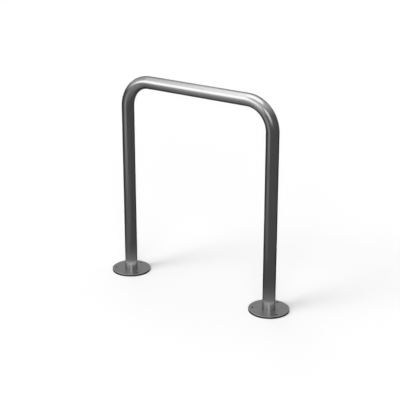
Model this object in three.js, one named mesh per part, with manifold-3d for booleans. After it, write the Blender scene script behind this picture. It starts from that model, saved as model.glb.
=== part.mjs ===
// A hoop bike rack: one steel tube bent into an arch, its two feet seated in round base plates.
//
// Each foot goes down into a close-fitting bore and stops short of the plate's underside, where a
// ring of weld fills a chamfered groove under it, so the joint looks clean from above. The holes
// for the ground anchors are bare. Lengths are in millimetres, +Z is up, and the origin lies on the
// ground midway between the legs. The hoop stands in the plane y = 0.

import Module from "manifold-3d";
import * as THREE from "three";
import { mergeVertices } from "three/addons/utils/BufferGeometryUtils.js";

// Hoop
const TUBE_DIAMETER = 48.3;
const TUBE_WALL = 2.6;
const LEG_SPACING = 652; // from one leg's axis to the other's
const OVERALL_HEIGHT = 810; // from the ground to the top of the rail
const BEND_RADIUS = 106; // of the tube's centre line

// Base plates
const PLATE_DIAMETER = 152;
const PLATE_THICKNESS = 8;
const EDGE_CHAMFER = 1; // round the plate's upper edge
const HOLE_DIAMETER = 8; // for the ground anchors
const HOLE_EDGE_DISTANCE = 15; // from the plate's rim in to a hole's centre
const HOLES_PER_PLATE = 3;
const FIRST_HOLE_TURN = Math.PI / 2; // the first hole lies straight behind the leg

// Foot joint
const FIT_CLEARANCE = 0.3; // between the tube, the plate and the weld
const WELD_DEPTH = 3; // from the plate's underside up to the tube's end
const WELD_RECESS = 0.4; // from the ground up to the weld's face

// Only the cuts use this: how far a cutter runs past the plate on each side
const CUT_OVERRUN = 1;

// Number of flat facets in each round surface
const TUBE_FACETS = 36;
const BEND_FACETS = 14;
const PLATE_FACETS = 72;
const HOLE_FACETS = 20;

// Worked out from the sizes above
const TUBE_RADIUS = TUBE_DIAMETER / 2;
const TUBE_BORE_RADIUS = TUBE_RADIUS - TUBE_WALL;
const LEG_OFFSET = LEG_SPACING / 2;
const RAIL_AXIS_HEIGHT = OVERALL_HEIGHT - TUBE_RADIUS;
const BEND_CENTRE_OFFSET = LEG_OFFSET - BEND_RADIUS;
const BEND_CENTRE_HEIGHT = RAIL_AXIS_HEIGHT - BEND_RADIUS;
const PLATE_RADIUS = PLATE_DIAMETER / 2;
const HOLE_CIRCLE_RADIUS = PLATE_RADIUS - HOLE_EDGE_DISTANCE;
const SEAT_RADIUS = TUBE_RADIUS + FIT_CLEARANCE;
const FOOT_HEIGHT = WELD_DEPTH;

const wasm = await Module();
wasm.setup();

function steel(color, roughness) {
  return new THREE.MeshStandardMaterial({ color, roughness, metalness: 1 });
}

// Satin stainless for the tube, the same steel a little flatter on the plates, bare bead for the welds
const tubeSteel = steel(0x9a9b9c, 0.3);
const plateSteel = steel(0x8f9091, 0.38);
const weldSteel = steel(0x77787a, 0.5);

function piece(name, geometry, material) {
  const mesh = new THREE.Mesh(geometry, material);
  mesh.name = name;
  return mesh;
}

// The tube's centre line. Its rings stand only at the ends and where the line turns, so the long
// straight runs stay single facets, and the curve's parameter counts rings instead of length.
class HoopLine extends THREE.Curve {
  constructor() {
    super();
    this.rings = [];
    this.addRing(-LEG_OFFSET, FOOT_HEIGHT, 0);
    this.addBend(-BEND_CENTRE_OFFSET, 0);
    this.addBend(BEND_CENTRE_OFFSET, Math.PI / 2);
    this.addRing(LEG_OFFSET, FOOT_HEIGHT, Math.PI);
  }

  // turn is how far the line has turned from straight up: a quarter turn runs along the rail
  addRing(x, z, turn) {
    const point = new THREE.Vector3(x, 0, z);
    const tangent = new THREE.Vector3(Math.sin(turn), 0, Math.cos(turn));
    this.rings.push({ point, tangent });
  }

  addBend(centreX, firstTurn) {
    for (let i = 0; i <= BEND_FACETS; i += 1) {
      const turn = firstTurn + ((i / BEND_FACETS) * Math.PI) / 2;
      const x = centreX - BEND_RADIUS * Math.cos(turn);
      const z = BEND_CENTRE_HEIGHT + BEND_RADIUS * Math.sin(turn);
      this.addRing(x, z, turn);
    }
  }

  get steps() {
    return this.rings.length - 1;
  }

  getPointAt(u, target = new THREE.Vector3()) {
    return target.copy(this.rings[Math.round(u * this.steps)].point);
  }

  getTangentAt(u, target = new THREE.Vector3()) {
    return target.copy(this.rings[Math.round(u * this.steps)].tangent);
  }
}

function circle(ShapeType, radius) {
  return new ShapeType().absarc(0, 0, radius, 0, 2 * Math.PI);
}

function hoopTube() {
  const line = new HoopLine();
  const wall = circle(THREE.Shape, TUBE_RADIUS);
  wall.holes.push(circle(THREE.Path, TUBE_BORE_RADIUS));
  const geometry = new THREE.ExtrudeGeometry(wall, {
    curveSegments: TUBE_FACETS / 2,
    steps: line.steps,
    extrudePath: line,
  });
  return piece("hoop_tube", geometry, tubeSteel);
}

// A solid of revolution about Z from a closed outline of [radius, height] points
function turned(outline, facets) {
  const points = [...outline, outline[0]].map(([radius, height]) => new THREE.Vector2(radius, height));
  const geometry = new THREE.LatheGeometry(points, facets);
  geometry.rotateX(Math.PI / 2);
  return geometry;
}

function toSolid(geometry) {
  const bare = geometry.clone();
  bare.deleteAttribute("normal");
  bare.deleteAttribute("uv");
  const merged = mergeVertices(bare);
  return new wasm.Manifold(
    new wasm.Mesh({
      numProp: 3,
      vertProperties: new Float32Array(merged.attributes.position.array),
      triVerts: new Uint32Array(merged.index.array),
    }),
  );
}

function toGeometry(solid) {
  const { vertProperties, triVerts } = solid.getMesh();
  const geometry = new THREE.BufferGeometry();
  geometry.setAttribute("position", new THREE.BufferAttribute(vertProperties, 3));
  geometry.setIndex(new THREE.BufferAttribute(triVerts, 1));
  geometry.computeVertexNormals();
  return geometry;
}

// A round cutter through the whole plate at one anchor hole
function anchorHole(index) {
  const turn = FIRST_HOLE_TURN + (index / HOLES_PER_PLATE) * 2 * Math.PI;
  const length = PLATE_THICKNESS + 2 * CUT_OVERRUN;
  const radius = HOLE_DIAMETER / 2;
  const cutter = new THREE.CylinderGeometry(radius, radius, length, HOLE_FACETS);
  cutter.rotateX(Math.PI / 2);
  const x = HOLE_CIRCLE_RADIUS * Math.cos(turn);
  const y = HOLE_CIRCLE_RADIUS * Math.sin(turn);
  cutter.translate(x, y, PLATE_THICKNESS / 2);
  return toSolid(cutter);
}

// A disc with a bore for the tube's foot, a weld groove round the bore's lower end, a light chamfer
// on its upper edge, and the anchor holes
function basePlateGeometry() {
  const disc = turned(
    [
      [SEAT_RADIUS + WELD_DEPTH, 0],
      [PLATE_RADIUS, 0],
      [PLATE_RADIUS, PLATE_THICKNESS - EDGE_CHAMFER],
      [PLATE_RADIUS - EDGE_CHAMFER, PLATE_THICKNESS],
      [SEAT_RADIUS, PLATE_THICKNESS],
      [SEAT_RADIUS, WELD_DEPTH],
    ],
    PLATE_FACETS,
  );
  let plate = toSolid(disc);
  for (let i = 0; i < HOLES_PER_PLATE; i += 1) {
    plate = plate.subtract(anchorHole(i));
  }
  return toGeometry(plate);
}

// The ring of weld under the tube's end. It fills the groove up to the fit clearance, measured
// square to the groove's 45 degree side, and its face stays clear of the ground.
function footWeldGeometry() {
  const grooveRadius = SEAT_RADIUS + WELD_DEPTH - FIT_CLEARANCE * Math.SQRT2;
  return turned(
    [
      [TUBE_BORE_RADIUS, WELD_RECESS],
      [grooveRadius - WELD_RECESS, WELD_RECESS],
      [grooveRadius - WELD_DEPTH, WELD_DEPTH],
      [TUBE_BORE_RADIUS, WELD_DEPTH],
    ],
    TUBE_FACETS,
  );
}

function foot(side, x) {
  const group = new THREE.Group();
  group.position.x = x;
  group.add(piece(`base_plate_${side}`, basePlateGeometry(), plateSteel));
  group.add(piece(`foot_weld_${side}`, footWeldGeometry(), weldSteel));
  return group;
}

const hoopBikeRack = new THREE.Group();
hoopBikeRack.name = "hoop_bike_rack";
hoopBikeRack.add(hoopTube(), foot("left", -LEG_OFFSET), foot("right", LEG_OFFSET));

export default hoopBikeRack;
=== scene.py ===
"""A hoop bike rack in dark satin steel, on a white floor under soft studio light.

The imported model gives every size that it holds. The tube, the plates and the welds are made again
here with fine surfaces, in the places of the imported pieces.
"""
import math

import bpy
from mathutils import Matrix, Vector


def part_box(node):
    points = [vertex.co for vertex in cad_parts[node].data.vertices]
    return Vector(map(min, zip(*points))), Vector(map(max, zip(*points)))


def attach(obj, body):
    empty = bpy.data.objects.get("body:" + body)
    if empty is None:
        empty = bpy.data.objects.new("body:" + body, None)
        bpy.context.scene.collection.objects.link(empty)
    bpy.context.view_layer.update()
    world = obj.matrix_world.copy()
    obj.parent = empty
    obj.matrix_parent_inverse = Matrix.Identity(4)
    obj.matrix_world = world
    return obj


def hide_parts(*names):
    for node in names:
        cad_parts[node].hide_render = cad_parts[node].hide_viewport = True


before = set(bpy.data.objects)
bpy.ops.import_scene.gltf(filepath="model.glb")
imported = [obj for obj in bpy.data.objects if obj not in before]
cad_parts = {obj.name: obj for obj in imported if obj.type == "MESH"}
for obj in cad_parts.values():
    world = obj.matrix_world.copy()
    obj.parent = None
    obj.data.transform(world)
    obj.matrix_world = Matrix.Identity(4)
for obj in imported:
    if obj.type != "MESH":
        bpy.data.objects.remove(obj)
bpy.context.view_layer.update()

BODY = "root"
MM = 0.001

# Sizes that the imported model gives, in metres
tube_low, tube_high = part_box("hoop_tube")
plate_low, plate_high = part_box("base_plate_right")
weld_low, weld_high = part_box("foot_weld_right")

TUBE_RADIUS = (tube_high.y - tube_low.y) / 2
LEG_OFFSET = (plate_low.x + plate_high.x) / 2
FOOT_HEIGHT = tube_low.z
RAIL_AXIS_HEIGHT = tube_high.z - TUBE_RADIUS
PLATE_RADIUS = (plate_high.x - plate_low.x) / 2
PLATE_THICKNESS = plate_high.z - plate_low.z
WELD_DEPTH = weld_high.z
WELD_RECESS = weld_low.z
FEET = {"left": -LEG_OFFSET, "right": LEG_OFFSET}

# Sizes that its boxes don't give
TUBE_WALL = 2.6 * MM
BEND_RADIUS = 106 * MM
FIT_CLEARANCE = 0.3 * MM
HOLE_RADIUS = 4 * MM
HOLE_EDGE_DISTANCE = 15 * MM
HOLES_PER_PLATE = 3
FIRST_HOLE_TURN = math.pi / 2
RIM_ROUND = 1.0 * MM
SMALL_ROUND = 0.3 * MM
FLAT_BORDER = 0.4 * MM
CUT_OVERRUN = 1 * MM
WELD_RIPPLES = 64
RIPPLE_SHARE = 0.06

SEAT_RADIUS = TUBE_RADIUS + FIT_CLEARANCE
HOLE_CIRCLE_RADIUS = PLATE_RADIUS - HOLE_EDGE_DISTANCE

# How finely the surfaces are divided
TUBE_SIDES = 96
BEND_STEPS = 48
PLATE_SIDES = 192
HOLE_SIDES = 48
ROUND_STEPS = 4
BEAD_SIDES = 16
STEPS_PER_RIPPLE = 6
SHARP_ANGLE = math.radians(40)

# Camera: an eye 1.7 m up, to the right of the rack, looking down on it
CAMERA_PLACE = (2.165, -3.016, 1.695)
CAMERA_TURN = math.radians(35.5)
CAMERA_TILT = math.radians(18.41)
CAMERA_LENS = 94.3
CAMERA_SHIFT = -0.06


def make_camera():
    data = bpy.data.cameras.new("camera")
    data.lens = CAMERA_LENS
    data.shift_y = CAMERA_SHIFT
    camera = bpy.data.objects.new("camera", data)
    camera.location = CAMERA_PLACE
    camera.rotation_euler = (math.pi / 2 - CAMERA_TILT, 0, CAMERA_TURN)
    bpy.context.scene.collection.objects.link(camera)
    bpy.context.scene.camera = camera


# Node trees

NOISE_DETAIL = 3.0
NOISE_MIDDLE = 0.5


class Wire:
    """One output of a node. Sums written with wires add the Math nodes that work them out."""

    def __init__(self, tree, socket):
        self.tree = tree
        self.socket = socket

    def __getitem__(self, name):
        return Wire(self.tree, self.socket.node.outputs[name])

    def __add__(self, other):
        return self.tree.math("ADD", self, other)

    def __sub__(self, other):
        return self.tree.math("SUBTRACT", self, other)

    def __rsub__(self, other):
        return self.tree.math("SUBTRACT", other, self)

    def __mul__(self, other):
        return self.tree.math("MULTIPLY", self, other)

    def __gt__(self, other):
        return self.tree.math("GREATER_THAN", self, other)

    def __lt__(self, other):
        return self.tree.math("LESS_THAN", self, other)

    __radd__ = __add__
    __rmul__ = __mul__


class Tree:
    """Adds nodes to one shader tree or geometry tree."""

    def __init__(self, tree):
        self.tree = tree

    def node(self, kind, inputs=None, out=0, stops=None, **settings):
        """Makes a node, with its settings first and its inputs after them, and returns one output."""
        node = self.tree.nodes.new(kind)
        for name, value in settings.items():
            setattr(node, name, value)
        if stops:
            self.set_stops(node.color_ramp.elements, stops)
        for key, value in (inputs or {}).items():
            self.fill(node.inputs[key], value)
        return Wire(self, node.outputs[out]) if len(node.outputs) else node

    def fill(self, socket, value):
        if isinstance(value, (list, tuple)) and any(isinstance(part, Wire) for part in value):
            value = self.node("ShaderNodeCombineXYZ", dict(enumerate(value)))
        if isinstance(value, Wire):
            self.tree.links.new(value.socket, socket)
        else:
            socket.default_value = value

    def set_stops(self, elements, stops):
        while len(elements) < len(stops):
            elements.new(1)
        for element, (place, grey) in zip(elements, stops):
            element.position = place
            element.color = (grey, grey, grey, 1)

    def math(self, operation, *values):
        return self.node("ShaderNodeMath", dict(enumerate(values)), operation=operation)

    def step(self, value, start, end, low=0.0, high=1.0):
        """Goes smoothly from low to high as value goes from start to end."""
        return self.node("ShaderNodeMapRange", {
            "Value": value, "From Min": start, "From Max": end, "To Min": low, "To Max": high,
        }, interpolation_type="SMOOTHSTEP")

    def noise(self, vector, scale):
        return self.node("ShaderNodeTexNoise", {"Vector": vector, "Scale": scale, "Detail": NOISE_DETAIL})


def new_material(name):
    """An empty material and its tree."""
    material = bpy.data.materials.new(name)
    material.use_nodes = True
    material.node_tree.nodes.clear()
    return material, Tree(material.node_tree)


# Steel finishes

GREY_SWING = 0.2
ROUGHNESS_SWING = 0.06
EDGE_TINT = (0.27, 0.27, 0.27, 1)

# The tube's greys, from its dark legs to the rail's bright top, with heights above the ground. The lighter
# upper hoop is a painted sheen, the rail's bright top a painted highlight, and the lighter bands above the
# feet are painted reflections of the plates
LEG_GREY = 0.057
UPPER_PAINTED_SHEEN_GREY = 0.09
TOP_PAINTED_HIGHLIGHT_GREY = 0.32
TOP_HIGHLIGHT_LOW = RAIL_AXIS_HEIGHT - 45 * MM
TOP_HIGHLIGHT_SIDE_SHARES = (-0.1, 0.35)
FOOT_PAINTED_REFLECTION_GREY = 0.17
FOOT_REFLECTION_LOW = 20 * MM
FOOT_REFLECTION_HIGH = 170 * MM
FOOT_REFLECTION_FALLOFF = 3.0
BASE_RING_PAINTED_REFLECTION_GREY = 0.52
BASE_RING_REFLECTION_LOW = 22 * MM
BASE_RING_REFLECTION_HIGH = 50 * MM
TUBE_ROUGHNESS = 0.23

# Patterns on the tube: their changes in a metre along it and across it, and how many times finer they are
TUBE_GRAIN = (220, 40, 4.0)
TUBE_BLOTCH = (14, 30, 1.0)
TUBE_GRAIN_DEPTH = 0.012 * MM

# The plates. Their finish changes over shares of the upper edge's rounding, from the top and from the rim.
# The rim's dark grey is painted shade and the light upper edge a painted highlight
PLATE_GREY = 0.23
RIM_PAINTED_SHADE_GREY = 0.028
EDGE_PAINTED_HIGHLIGHT_GREY = 0.34
SHADED_SIDE_SHARES = (0.8, 0.2)
EDGE_HIGHLIGHT_SHARES = (1.2, 0.8)
PLATE_ROUGHNESS = 0.36
PLATE_BLOTCHES = 30.0
RINGS_PER_METRE = 1500
RING_WAVER = 2
RING_DEPTH = 0.004 * MM

WELD_GREY = 0.06
WELD_ROUGHNESS = 0.42
WELD_BLOTCHES = 120.0
WELD_GRAIN = 900.0
WELD_GRAIN_DEPTH = 0.02 * MM


def steel(material, tree, grey, roughness, blotch, grain, grain_depth):
    """A metal whose grey and roughness waver with a blotch, under a grain that stands up from it."""
    level = grey * (1 + GREY_SWING * (blotch + grain - 2 * NOISE_MIDDLE))
    colour = tree.node("ShaderNodeCombineColor", {"Red": level, "Green": level, "Blue": level})
    relief = tree.node("ShaderNodeBump", {"Strength": 1.0, "Distance": grain_depth, "Height": grain})
    skin = tree.node("ShaderNodeBsdfPrincipled", {
        "Base Color": colour,
        "Metallic": 1.0,
        "Roughness": roughness + ROUGHNESS_SWING * (blotch - NOISE_MIDDLE),
        "Specular Tint": EDGE_TINT,
        "Normal": relief,
    })
    tree.node("ShaderNodeOutputMaterial", {"Surface": skin})
    return material


def tube_pattern(tree, along, across, often_along, often_across, fineness):
    """A noise that is laid along the tube, so that it follows the bends."""
    place = (along * often_along, across["X"] * often_across, across["Y"] * often_across)
    return tree.noise(place, fineness)


def tube_finish():
    """Grinding marks run round the tube. The upper hoop is a lighter grey as a painted sheen, the rail's
    upward-facing side carries a painted highlight, and lighter bands low on the legs, brightest in a ring
    just above each plate, are painted reflections of the plates."""
    material, tree = new_material("satin_tube")
    along = tree.node("ShaderNodeAttribute", attribute_name="along", out="Fac")
    section = tree.node("ShaderNodeAttribute", attribute_name="section", out="Vector")
    across = tree.node("ShaderNodeSeparateXYZ", {"Vector": section})
    grain = tube_pattern(tree, along, across, *TUBE_GRAIN)
    blotch = tube_pattern(tree, along, across, *TUBE_BLOTCH)
    place = tree.node("ShaderNodeTexCoord", out="Object")
    height = tree.node("ShaderNodeSeparateXYZ", {"Vector": place})["Z"]
    # The upper hoop's lighter grey is a painted sheen.
    upper_sheen = tree.step(height, RAIL_AXIS_HEIGHT - BEND_RADIUS, RAIL_AXIS_HEIGHT)
    outward = across["X"] * (-1 / TUBE_RADIUS)
    # The rail's upward-facing side carries a painted highlight.
    top_highlight = tree.step(height, TOP_HIGHLIGHT_LOW, RAIL_AXIS_HEIGHT) * tree.step(outward, *TOP_HIGHLIGHT_SIDE_SHARES)
    # Lighter bands low on the legs, brightest in a ring just above each plate, are painted reflections of the
    # plates.
    foot_reflection = tree.math("POWER", tree.step(height, FOOT_REFLECTION_HIGH, FOOT_REFLECTION_LOW), FOOT_REFLECTION_FALLOFF)
    base_ring_reflection = tree.step(height, BASE_RING_REFLECTION_HIGH, BASE_RING_REFLECTION_LOW)
    grey = LEG_GREY + (UPPER_PAINTED_SHEEN_GREY - LEG_GREY) * upper_sheen + (TOP_PAINTED_HIGHLIGHT_GREY - UPPER_PAINTED_SHEEN_GREY) * top_highlight
    grey = grey + (FOOT_PAINTED_REFLECTION_GREY - LEG_GREY) * foot_reflection + (BASE_RING_PAINTED_REFLECTION_GREY - FOOT_PAINTED_REFLECTION_GREY) * base_ring_reflection
    return steel(material, tree, grey, TUBE_ROUGHNESS, blotch, grain, TUBE_GRAIN_DEPTH)


def near_edge(tree, value, edge, start_share, full_share):
    """0 inside the plate and 1 at its edge, changing between two shares of the rounding from that edge."""
    return tree.step(value, edge - start_share * RIM_ROUND, edge - full_share * RIM_ROUND)


def plate_finish():
    """The top is lighter than the rim, whose dark grey is painted shade, and the edge between them carries a
    painted highlight. The facing tool has left faint rings round the bore."""
    material, tree = new_material("satin_plate")
    from_axis = tree.node("ShaderNodeAttribute", attribute_name="from_axis", out="Fac")
    place = tree.node("ShaderNodeTexCoord", out="Object")
    height = tree.node("ShaderNodeSeparateXYZ", {"Vector": place})["Z"]
    # The rim's dark grey is painted shade.
    above_shaded_side = near_edge(tree, height, PLATE_THICKNESS, *SHADED_SIDE_SHARES)
    # The light upper edge is a painted highlight.
    near_top = near_edge(tree, height, PLATE_THICKNESS, *EDGE_HIGHLIGHT_SHARES)
    edge_highlight = near_top * near_edge(tree, from_axis, PLATE_RADIUS, *EDGE_HIGHLIGHT_SHARES)
    blotch = tree.noise(place, PLATE_BLOTCHES)
    rings = tree.noise((from_axis * RINGS_PER_METRE, blotch * RING_WAVER, 0.0), 1.0)
    grey = RIM_PAINTED_SHADE_GREY + (PLATE_GREY - RIM_PAINTED_SHADE_GREY) * above_shaded_side + (EDGE_PAINTED_HIGHLIGHT_GREY - PLATE_GREY) * edge_highlight
    return steel(material, tree, grey, PLATE_ROUGHNESS, blotch, rings, RING_DEPTH)


def weld_finish():
    """The bead is left dull and dark, as it was laid."""
    material, tree = new_material("weld_bead")
    place = tree.node("ShaderNodeTexCoord", out="Object")
    blotch = tree.noise(place, WELD_BLOTCHES)
    grain = tree.noise(place, WELD_GRAIN)
    return steel(material, tree, WELD_GREY, WELD_ROUGHNESS, blotch, grain, WELD_GRAIN_DEPTH)


# Geometry trees

class Shape(Tree):
    """A geometry tree with named inputs. Its values are set by name when it grows a piece."""

    def __init__(self, name, lengths, counts):
        group = bpy.data.node_groups.new(name, "GeometryNodeTree")
        super().__init__(group)
        self.add_port("Geometry", "NodeSocketGeometry")
        for label in lengths:
            self.add_port(label, "NodeSocketFloat")
        for label in counts:
            self.add_port(label, "NodeSocketInt")
        self.add_port("Steel", "NodeSocketMaterial")
        group.interface.new_socket("Geometry", in_out="OUTPUT", socket_type="NodeSocketGeometry")
        self.given = self.node("NodeGroupInput")

    def add_port(self, label, kind):
        self.tree.interface.new_socket(label, in_out="INPUT", socket_type=kind)

    def mark(self, geometry, name, kind, value):
        """Stores a value on the points of a geometry, for the materials to read."""
        return self.node("GeometryNodeStoreNamedAttribute", {
            "Geometry": geometry, "Name": name, "Value": value,
        }, data_type=kind, domain="POINT")

    def finish(self, geometry):
        """Makes instances real and dresses the piece in its steel."""
        smooth = self.node("GeometryNodeSetShadeSmooth", {"Geometry": geometry})
        real = self.node("GeometryNodeRealizeInstances", {"Geometry": smooth})
        dressed = self.node("GeometryNodeSetMaterial", {"Geometry": real, "Material": self.given["Steel"]})
        self.node("NodeGroupOutput", {"Geometry": dressed})

    def grow(self, name, seed_mesh, values, finish_seed=None):
        """Runs the tree on a mesh, and any modifiers that finish_seed adds, and returns a plain piece."""
        seed = bpy.data.objects.new(name + "_seed", seed_mesh)
        bpy.context.scene.collection.objects.link(seed)
        modifier = seed.modifiers.new("shape", "NODES")
        modifier.node_group = self.tree
        for item in self.tree.interface.items_tree:
            if item.in_out == "INPUT" and item.name in values:
                modifier[item.identifier] = values[item.name]
        if finish_seed:
            finish_seed(seed)
        ready = bpy.context.evaluated_depsgraph_get()
        mesh = bpy.data.meshes.new_from_object(seed.evaluated_get(ready), depsgraph=ready)
        bpy.data.objects.remove(seed)
        mesh.name = name
        mesh.set_sharp_from_angle(angle=SHARP_ANGLE)
        piece = bpy.data.objects.new(name, mesh)
        bpy.context.scene.collection.objects.link(piece)
        return piece


def settle(piece, node):
    """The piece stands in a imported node's place, on the rack's only body."""
    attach(piece, BODY)
    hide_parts(node)


# Hoop

HOOP_CORNERS = 4


def hoop_shape():
    """Lays a line of four points out as the hoop's corners, bends it and sweeps a circle along it."""
    shape = Shape("hoop", ("Leg offset", "Foot height", "Rail height", "Bend radius", "Tube radius"),
                  ("Bend steps", "Sides"))
    given = shape.given
    line = shape.node("GeometryNodeCurvePrimitiveLine")
    four = shape.node("GeometryNodeResampleCurve", {"Curve": line, "Count": HOOP_CORNERS})
    index = shape.node("GeometryNodeInputIndex")
    middle = (HOOP_CORNERS - 1) / 2
    side = (index > middle) * 2 - 1
    on_rail = (index > middle - 1) * (index < middle + 1)
    height = given["Foot height"] + on_rail * (given["Rail height"] - given["Foot height"])
    corners = shape.node("GeometryNodeSetPosition", {
        "Geometry": four, "Position": (side * given["Leg offset"], 0.0, height),
    })
    arch = shape.node("GeometryNodeFilletCurve", {
        "Curve": corners, "Count": given["Bend steps"], "Radius": given["Bend radius"],
    }, mode="POLY")
    length = shape.node("GeometryNodeSplineParameter", out="Length")
    path = shape.mark(arch, "along", "FLOAT", length)
    circle = shape.node("GeometryNodeCurvePrimitiveCircle", {
        "Resolution": given["Sides"], "Radius": given["Tube radius"],
    })
    place = shape.node("GeometryNodeInputPosition")
    section = shape.mark(circle, "section", "FLOAT_VECTOR", place)
    shape.finish(shape.node("GeometryNodeCurveToMesh", {"Curve": path, "Profile Curve": section}))
    return shape


def add_wall(seed):
    wall = seed.modifiers.new("wall", "SOLIDIFY")
    wall.thickness = TUBE_WALL
    wall.offset = -1


def make_hoop():
    hoop = hoop_shape().grow("bent_tube", bpy.data.meshes.new("bent_tube_seed"), {
        "Leg offset": LEG_OFFSET,
        "Foot height": FOOT_HEIGHT,
        "Rail height": RAIL_AXIS_HEIGHT,
        "Bend radius": BEND_RADIUS,
        "Tube radius": TUBE_RADIUS,
        "Bend steps": BEND_STEPS,
        "Sides": TUBE_SIDES,
        "Steel": tube_finish(),
    }, add_wall)
    settle(hoop, "hoop_tube")


# Base plates

def turned(name, section, sides):
    """A closed mesh, made by turning a closed half-section of (radius, height) points round the axis."""
    count = len(section)
    points = []
    faces = []
    for side in range(sides):
        turn = 2 * math.pi * side / sides
        points += [(radius * math.cos(turn), radius * math.sin(turn), height) for radius, height in section]
        here = side * count
        there = (side + 1) % sides * count
        for i in range(count):
            j = (i + 1) % count
            faces.append((here + i, there + i, there + j, here + j))
    mesh = bpy.data.meshes.new(name)
    mesh.from_pydata(points, [], faces)
    return mesh


def rounded(radius, height, edge, start, end):
    """Points of a rounded edge whose middle is at (radius, height), between two angles in degrees."""
    angles = [math.radians(start + (end - start) * step / ROUND_STEPS) for step in range(ROUND_STEPS + 1)]
    return [(radius + edge * math.cos(angle), height + edge * math.sin(angle)) for angle in angles]


def plate_section():
    """The plate's half-section, from the weld groove round the rim to the bore."""
    top = PLATE_THICKNESS
    rim_middle = PLATE_RADIUS - RIM_ROUND
    return [
        (SEAT_RADIUS + WELD_DEPTH, 0),
        (PLATE_RADIUS - SMALL_ROUND - FLAT_BORDER, 0),
        *rounded(PLATE_RADIUS - SMALL_ROUND, SMALL_ROUND, SMALL_ROUND, -90, 0),
        (PLATE_RADIUS, SMALL_ROUND + FLAT_BORDER),
        (PLATE_RADIUS, top - RIM_ROUND - FLAT_BORDER),
        *rounded(rim_middle, top - RIM_ROUND, RIM_ROUND, 0, 90),
        (rim_middle - FLAT_BORDER, top),
        (SEAT_RADIUS + SMALL_ROUND + FLAT_BORDER, top),
        *rounded(SEAT_RADIUS + SMALL_ROUND, top - SMALL_ROUND, SMALL_ROUND, 90, 180),
        (SEAT_RADIUS, WELD_DEPTH),
    ]


def plate_shape():
    """Drills the ring of anchor holes through a plate, breaks their upper edges and moves it to its leg."""
    lengths = ("Leg place", "Thickness", "Hole circle radius", "Hole radius", "Edge break", "First hole turn",
               "Overrun")
    shape = Shape("anchor_holes", lengths, ("Holes", "Hole sides"))
    given = shape.given
    circle = shape.node("GeometryNodeMeshCircle", {
        "Vertices": given["Holes"], "Radius": given["Hole circle radius"],
    })
    centres = shape.node("GeometryNodeTransform", {
        "Geometry": circle, "Rotation": (0.0, 0.0, given["First hole turn"]),
    })
    drill = shape.node("GeometryNodeMeshCylinder", {
        "Vertices": given["Hole sides"], "Radius": given["Hole radius"],
        "Depth": 2 * (given["Thickness"] + given["Overrun"]),
    })
    reach = given["Edge break"] + given["Overrun"]
    sink = shape.node("GeometryNodeMeshCone", {
        "Vertices": given["Hole sides"], "Depth": reach,
        "Radius Bottom": given["Hole radius"], "Radius Top": given["Hole radius"] + reach,
    })
    sunk = shape.node("GeometryNodeTransform", {
        "Geometry": sink, "Translation": (0.0, 0.0, given["Thickness"] - given["Edge break"]),
    })
    plate = given["Geometry"]
    for cutter in (drill, sunk):
        cutters = shape.node("GeometryNodeInstanceOnPoints", {"Points": centres, "Instance": cutter})
        real = shape.node("GeometryNodeRealizeInstances", {"Geometry": cutters})
        plate = shape.node("GeometryNodeMeshBoolean", {"Mesh 1": plate, "Mesh 2": real}, solver="EXACT")
    place = shape.node("GeometryNodeInputPosition")
    flat = shape.node("ShaderNodeVectorMath", {0: place, 1: (1, 1, 0)}, operation="MULTIPLY")
    from_axis = shape.node("ShaderNodeVectorMath", {0: flat}, operation="LENGTH", out="Value")
    marked = shape.mark(plate, "from_axis", "FLOAT", from_axis)
    shape.finish(shape.node("GeometryNodeTransform", {
        "Geometry": marked, "Translation": (given["Leg place"], 0.0, 0.0),
    }))
    return shape


def make_plates():
    shape = plate_shape()
    disc = turned("plate_disc", plate_section(), PLATE_SIDES)
    finish = plate_finish()
    for side, place in FEET.items():
        plate = shape.grow("round_plate_" + side, disc, {
            "Leg place": place,
            "Thickness": PLATE_THICKNESS,
            "Hole circle radius": HOLE_CIRCLE_RADIUS,
            "Hole radius": HOLE_RADIUS,
            "Edge break": SMALL_ROUND,
            "First hole turn": FIRST_HOLE_TURN,
            "Overrun": CUT_OVERRUN,
            "Holes": HOLES_PER_PLATE,
            "Hole sides": HOLE_SIDES,
            "Steel": finish,
        })
        settle(plate, "base_plate_" + side)


# Welds

def weld_shape():
    """Sweeps a flat oval round the tube's end, swelling and shrinking in even ripples."""
    lengths = ("Leg place", "Middle height", "Ring radius", "Half width", "Half height", "Ripple share")
    shape = Shape("weld_bead", lengths, ("Ripples", "Steps per ripple", "Sides"))
    given = shape.given
    ring = shape.node("GeometryNodeCurvePrimitiveCircle", {
        "Resolution": given["Ripples"] * given["Steps per ripple"], "Radius": given["Ring radius"],
    })
    factor = shape.node("GeometryNodeSplineParameter", out="Factor")
    wave = shape.math("SINE", factor * given["Ripples"] * (2 * math.pi))
    circle = shape.node("GeometryNodeCurvePrimitiveCircle", {"Resolution": given["Sides"], "Radius": 1.0})
    oval = shape.node("GeometryNodeTransform", {
        "Geometry": circle, "Scale": (given["Half width"], given["Half height"], 1.0),
    })
    bead = shape.node("GeometryNodeCurveToMesh", {
        "Curve": ring, "Profile Curve": oval, "Scale": 1 - given["Ripple share"] * (0.5 + 0.5 * wave),
    })
    shape.finish(shape.node("GeometryNodeTransform", {
        "Geometry": bead, "Translation": (given["Leg place"], 0.0, given["Middle height"]),
    }))
    return shape


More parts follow.
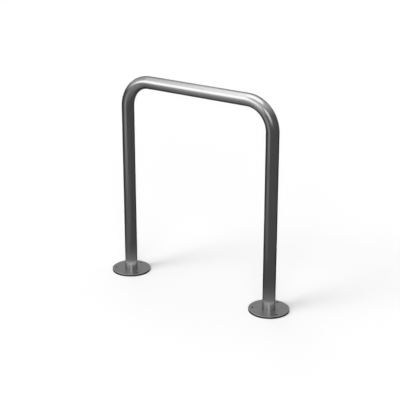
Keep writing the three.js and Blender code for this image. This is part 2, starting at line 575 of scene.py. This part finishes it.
def make_welds():
    shape = weld_shape()
    finish = weld_finish()
    inner = TUBE_RADIUS - TUBE_WALL
    middle_height = (WELD_DEPTH + WELD_RECESS) / 2
    outer = SEAT_RADIUS + WELD_DEPTH - middle_height
    for side, place in FEET.items():
        weld = shape.grow("weld_bead_" + side, bpy.data.meshes.new("weld_seed"), {
            "Leg place": place,
            "Middle height": middle_height,
            "Ring radius": (inner + outer) / 2,
            "Half width": (outer - inner) / 2,
            "Half height": (WELD_DEPTH - WELD_RECESS) / 2,
            "Ripple share": RIPPLE_SHARE,
            "Ripples": WELD_RIPPLES,
            "Steps per ripple": STEPS_PER_RIPPLE,
            "Sides": BEAD_SIDES,
            "Steel": finish,
        })
        settle(weld, "foot_weld_" + side)


# Floor and light

FLOOR_HALF = 30.0
FLOOR_GREY = 0.71
FILL = 0.02

# The key light comes from the front left. It draws the feet's shadows and shows in no reflection.
KEY_TURN = math.radians(-26)
KEY_RISE = math.radians(48)
KEY_SPREAD = math.radians(20)
KEY_STRENGTH = 1.05

# Places on the arch go from the horizon in front of the rack (0), over the top (0.5), to the one behind (1).
# Between the places given first, an edge or a softness goes from the third number to the fourth. Inside its
# right edge, the arch reaches its full level after ARCH_RIGHT_FULL.
ARCH_RIGHT_EDGE = (0.1, 0.32, -0.32, -0.46)
ARCH_LEFT_EDGE = (0.1, 0.34, -0.82, -0.585)
ARCH_BACK_INSET = (0.62, 0.75, 0.0, 0.09)
ARCH_RIGHT_SOFTNESS = (0.28, 0.36, 0.04, 0.1)
ARCH_LEFT_SOFTNESS = (0.2, 0.36, 0.02, 0.05)
ARCH_RIGHT_FULL = 0.03

# Between these places its right edge lies further to the right
ARCH_REACH = 0.74
ARCH_REACH_START = (0.31, 0.37)
ARCH_REACH_END = (0.68, 0.6)

# Its brightness from place to place
ARCH_BRIGHT = 3.2
ARCH_LEVELS = (
    (0.0, 1.0),
    (0.27, 1.0),
    (0.34, 0.92),
    (0.45, 1.0),
    (0.56, 0.97),
    (0.65, 0.65),
    (0.76, 0.65),
    (0.88, 0.7),
    (1.0, 0.3),
)

# Soft panels: turn to the right of the front and half width in radians, lowest and highest Z, brightness
PANELS = (
    (-0.3, 0.26, -0.1, 0.55, 2.4),
    (0.0, 0.34, 0.48, 0.74, 1.3),
    (0.56, 0.3, 0.14, 0.54, 7.0),
)
PANEL_SIDE_SOFT_SHARE = 0.2
PANEL_FOOT_SOFTNESS = 0.04
PANEL_TOP_SOFTNESS = 0.05

# Panels on the floor in front, to the left: near and far end from the middle of the rack, width, brightness
FLOOR_PANELS = (
    (0.35, 3.4, 1.0, 0.6),
    (1.1, 3.4, 1.2, 1.5),
    (1.8, 3.4, 1.5, 3.4),
)
FLOOR_PANEL_TURN = 0.4
FLOOR_PANEL_HEIGHT = 10 * MM


def seen_rays(tree):
    """1 for the rays that show the background: those of the camera, of reflections and of clear glass."""
    light_path = tree.node("ShaderNodeLightPath")
    shown = light_path["Is Camera Ray"] + light_path["Is Glossy Ray"] + light_path["Is Transmission Ray"]
    return tree.math("MINIMUM", shown, 1.0)


def make_floor():
    corners = [(x * FLOOR_HALF, y * FLOOR_HALF, 0) for x, y in ((-1, -1), (1, -1), (1, 1), (-1, 1))]
    mesh = bpy.data.meshes.new("floor")
    mesh.from_pydata(corners, [], [(0, 1, 2, 3)])
    floor = bpy.data.objects.new("floor", mesh)
    bpy.context.scene.collection.objects.link(floor)
    material, tree = new_material("white_floor")
    matt = tree.node("ShaderNodeBsdfDiffuse", {"Color": (FLOOR_GREY, FLOOR_GREY, FLOOR_GREY, 1)})
    tree.node("ShaderNodeOutputMaterial", {"Surface": matt})
    mesh.materials.append(material)


def make_floor_panel(near, far, width, bright):
    """A long panel lies on the floor, facing up. It draws a streak down each leg."""
    data = bpy.data.lights.new("floor_panel", "AREA")
    data.shape = "RECTANGLE"
    data.size = width
    data.size_y = far - near
    data.energy = bright * math.pi * data.size * data.size_y
    lamp = bpy.data.objects.new("floor_panel", data)
    middle = (near + far) / 2
    left = middle * math.sin(FLOOR_PANEL_TURN)
    forward = middle * math.cos(FLOOR_PANEL_TURN)
    lamp.location = (-left, -forward, FLOOR_PANEL_HEIGHT)
    lamp.rotation_euler = (math.pi, 0, -FLOOR_PANEL_TURN)
    lamp.visible_camera = False
    bpy.context.scene.collection.objects.link(lamp)


def make_key_light():
    data = bpy.data.lights.new("key", "SUN")
    data.energy = KEY_STRENGTH
    data.angle = KEY_SPREAD
    lamp = bpy.data.objects.new("key", data)
    lamp.rotation_euler = (math.pi / 2 - KEY_RISE, 0, KEY_TURN)
    lamp.visible_glossy = False
    bpy.context.scene.collection.objects.link(lamp)


def arch_light(tree, look):
    """An arch stands over the rack's left end. It is wide in front, and over its top it reaches right."""
    over = tree.math("ARCTAN2", look["Z"], 0 - look["Y"]) * (1 / math.pi)
    level = tree.node("ShaderNodeValToRGB", {"Fac": over}, stops=ARCH_LEVELS)
    reach = tree.step(over, *ARCH_REACH_START) * tree.step(over, *ARCH_REACH_END) * ARCH_REACH
    right_edge = tree.step(over, *ARCH_RIGHT_EDGE) + reach - tree.step(over, *ARCH_BACK_INSET)
    left_edge = tree.step(over, *ARCH_LEFT_EDGE)
    right_softness = tree.step(over, *ARCH_RIGHT_SOFTNESS)
    left_softness = tree.step(over, *ARCH_LEFT_SOFTNESS)
    inside = tree.step(look["X"] - right_edge, right_softness, -ARCH_RIGHT_FULL)
    inside = inside * tree.step(look["X"] - left_edge, 0 - left_softness, left_softness)
    return level * inside * ARCH_BRIGHT


def soft_edge(tree, value, edge, softness):
    """Rises from 0 to 1 across an edge, or falls from 1 to 0 there if the softness is below 0."""
    return tree.step(value, edge - softness, edge + softness)


def panel_light(tree, look, turn, half_width, low, high, bright):
    """A patch of light with soft edges."""
    off_middle = tree.math("ABSOLUTE", tree.math("ARCTAN2", look["X"], 0 - look["Y"]) - turn)
    across = soft_edge(tree, off_middle, half_width, -PANEL_SIDE_SOFT_SHARE * half_width)
    above_foot = soft_edge(tree, look["Z"], low, PANEL_FOOT_SOFTNESS)
    below_top = soft_edge(tree, look["Z"], high, -PANEL_TOP_SOFTNESS)
    return across * (above_foot * below_top) * bright


def make_world():
    """The surroundings are white where they are seen, with the brighter arch and panels in them."""
    world = bpy.data.worlds.new("studio")
    world.use_nodes = True
    world.node_tree.nodes.clear()
    tree = Tree(world.node_tree)
    look = tree.node("ShaderNodeSeparateXYZ", {"Vector": tree.node("ShaderNodeTexCoord", out="Generated")})
    strength = tree.math("MAXIMUM", arch_light(tree, look), FILL + (1 - FILL) * seen_rays(tree))
    for panel in PANELS:
        strength = tree.math("MAXIMUM", strength, panel_light(tree, look, *panel))
    light = tree.node("ShaderNodeBackground", {"Color": (1, 1, 1, 1), "Strength": strength})
    tree.node("ShaderNodeOutputWorld", {"Surface": light})
    bpy.context.scene.world = world


make_camera()
make_hoop()
make_plates()
make_welds()
make_floor()
for panel in FLOOR_PANELS:
    make_floor_panel(*panel)
make_key_light()
make_world()
bpy.context.scene.view_settings.view_transform = "Standard"
